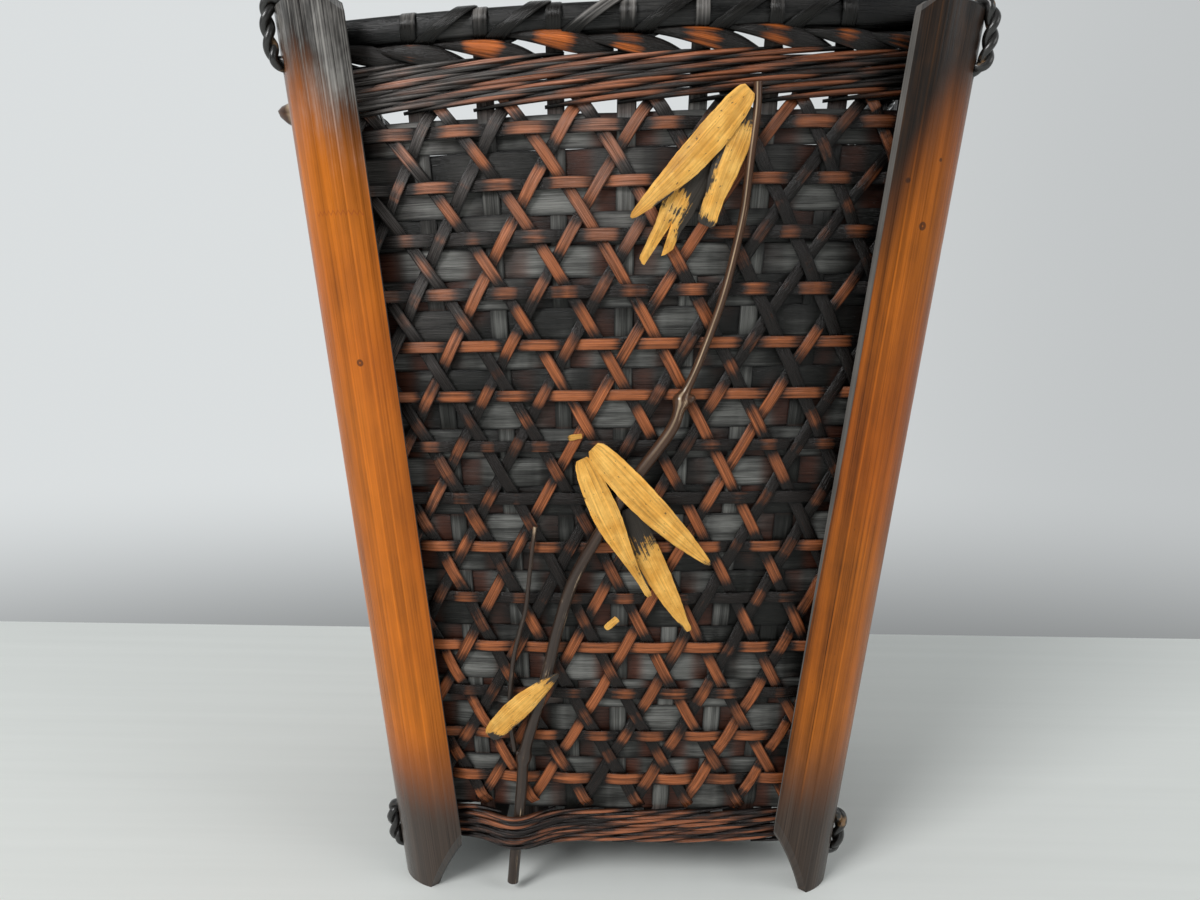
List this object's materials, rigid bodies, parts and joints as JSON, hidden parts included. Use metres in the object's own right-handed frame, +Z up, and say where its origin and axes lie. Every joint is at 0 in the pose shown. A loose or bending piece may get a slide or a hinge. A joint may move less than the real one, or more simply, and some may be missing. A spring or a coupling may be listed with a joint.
{
  "type": "bamboo flower basket vase",
  "caption": "Square tapered bamboo flower basket on split-culm corner posts, with an open six-sided lattice over a plain woven liner and a lift-out water tube.",
  "frame": {"origin": "on the table, under the middle of the basket", "axes": "+Z up, front with the twig and leaves towards -Y, +X to the right seen from the front"},
  "size_m": [0.2109, 0.2028, 0.2744],
  "materials": {
    "cane": "dark glossy cane",
    "dried_leaf": "dried bamboo leaf with dark stains",
    "lattice_strip": "smoked bamboo strip, charcoal to brown",
    "liner_strip": "charcoal bamboo strip, matt",
    "post_bamboo": "smoked split bamboo, satin, burnt dark at the ends",
    "rim_splint": "dark bamboo splint",
    "tube_bamboo": "plain bamboo culm, satin",
    "twig": "dark glossy bamboo twig"
  },
  "bodies": {
    "basket": {"base_strips_across": "liner_strip", "base_strips_along": "liner_strip", "bottom_tie_back_left": "cane", "bottom_tie_back_right": "cane", "bottom_tie_front_left": "cane", "bottom_tie_front_right": "cane", "branch_side_twig": "twig", "branch_stem": "twig", "lattice_falling_back": "lattice_strip", "lattice_falling_front": "lattice_strip", "lattice_falling_left": "lattice_strip", "lattice_falling_right": "lattice_strip", "lattice_rising_back": "lattice_strip", "lattice_rising_front": "lattice_strip", "lattice_rising_left": "lattice_strip", "lattice_rising_right": "lattice_strip", "lattice_rows_back": "lattice_strip", "lattice_rows_front": "lattice_strip", "lattice_rows_left": "lattice_strip", "lattice_rows_right": "lattice_strip", "leaf_low": "dried_leaf", "leaf_middle_left": "dried_leaf", "leaf_middle_right": "dried_leaf", "leaf_middle_under": "dried_leaf", "leaf_top_long": "dried_leaf", "leaf_top_right": "dried_leaf", "leaf_top_under": "dried_leaf", "liner_stakes_back": "liner_strip", "liner_stakes_front": "liner_strip", "liner_stakes_left": "liner_strip", "liner_stakes_right": "liner_strip", "liner_weavers_back": "liner_strip", "liner_weavers_front": "liner_strip", "liner_weavers_left": "liner_strip", "liner_weavers_right": "liner_strip", "lower_twining": "rim_splint", "post_back_left": "post_bamboo", "post_back_right": "post_bamboo", "post_front_left": "post_bamboo", "post_front_right": "post_bamboo", "rim_inner_hoop": "rim_splint", "rim_lashing": "rim_splint", "rim_outer_hoop": "rim_splint", "rim_straps": "rim_splint", "side_peg": "cane", "top_tie_back_left": "cane", "top_tie_back_right": "cane", "top_tie_front_left": "cane", "top_tie_front_right": "cane", "twist_row": "rim_splint", "upper_twining": "rim_splint"},
    "water_tube": {"water_tube": "tube_bamboo"}
  },
  "joints": [
    {"name": "tube_lift", "type": "slide", "parent": "basket", "child": "water_tube", "axis": [0, 0, 1], "range_m": [0, 0.28]}
  ]
}
